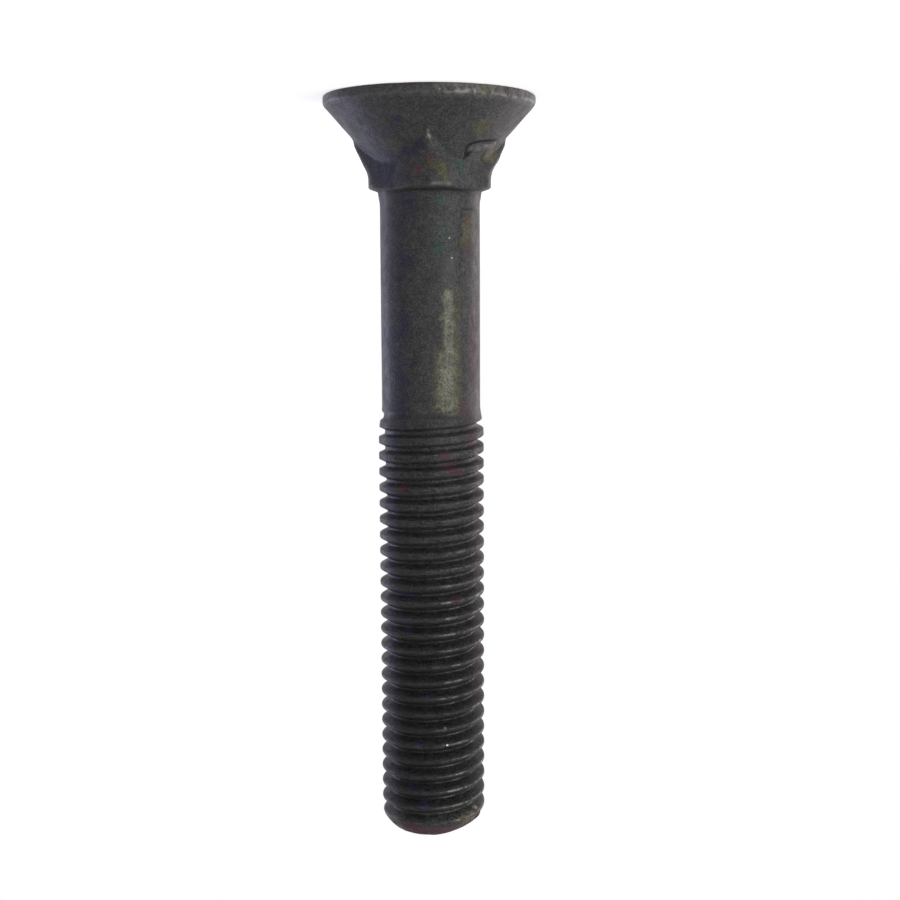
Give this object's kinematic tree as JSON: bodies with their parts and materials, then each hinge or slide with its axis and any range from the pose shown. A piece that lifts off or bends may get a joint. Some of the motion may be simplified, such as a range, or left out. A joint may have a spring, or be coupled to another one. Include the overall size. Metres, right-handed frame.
{
  "type": "plow bolt",
  "caption": "Plow bolt with a round flat countersunk head, a square neck, a plain shank and a right-hand rolled thread with a chamfered point.",
  "frame": {"origin": "centre of the flat face of the head, which the bolt stands on", "axes": "+Z along the bolt's axis from the head to the threaded point; the square neck's corners point along X and Y"},
  "size_m": [0.025, 0.025, 0.0889],
  "materials": {
    "blackened_steel": "black oxide over forged steel, rubbed bright in places, with light rust at the point"
  },
  "bodies": {
    "root": {"plow_bolt": "blackened_steel"}
  },
  "joints": []
}
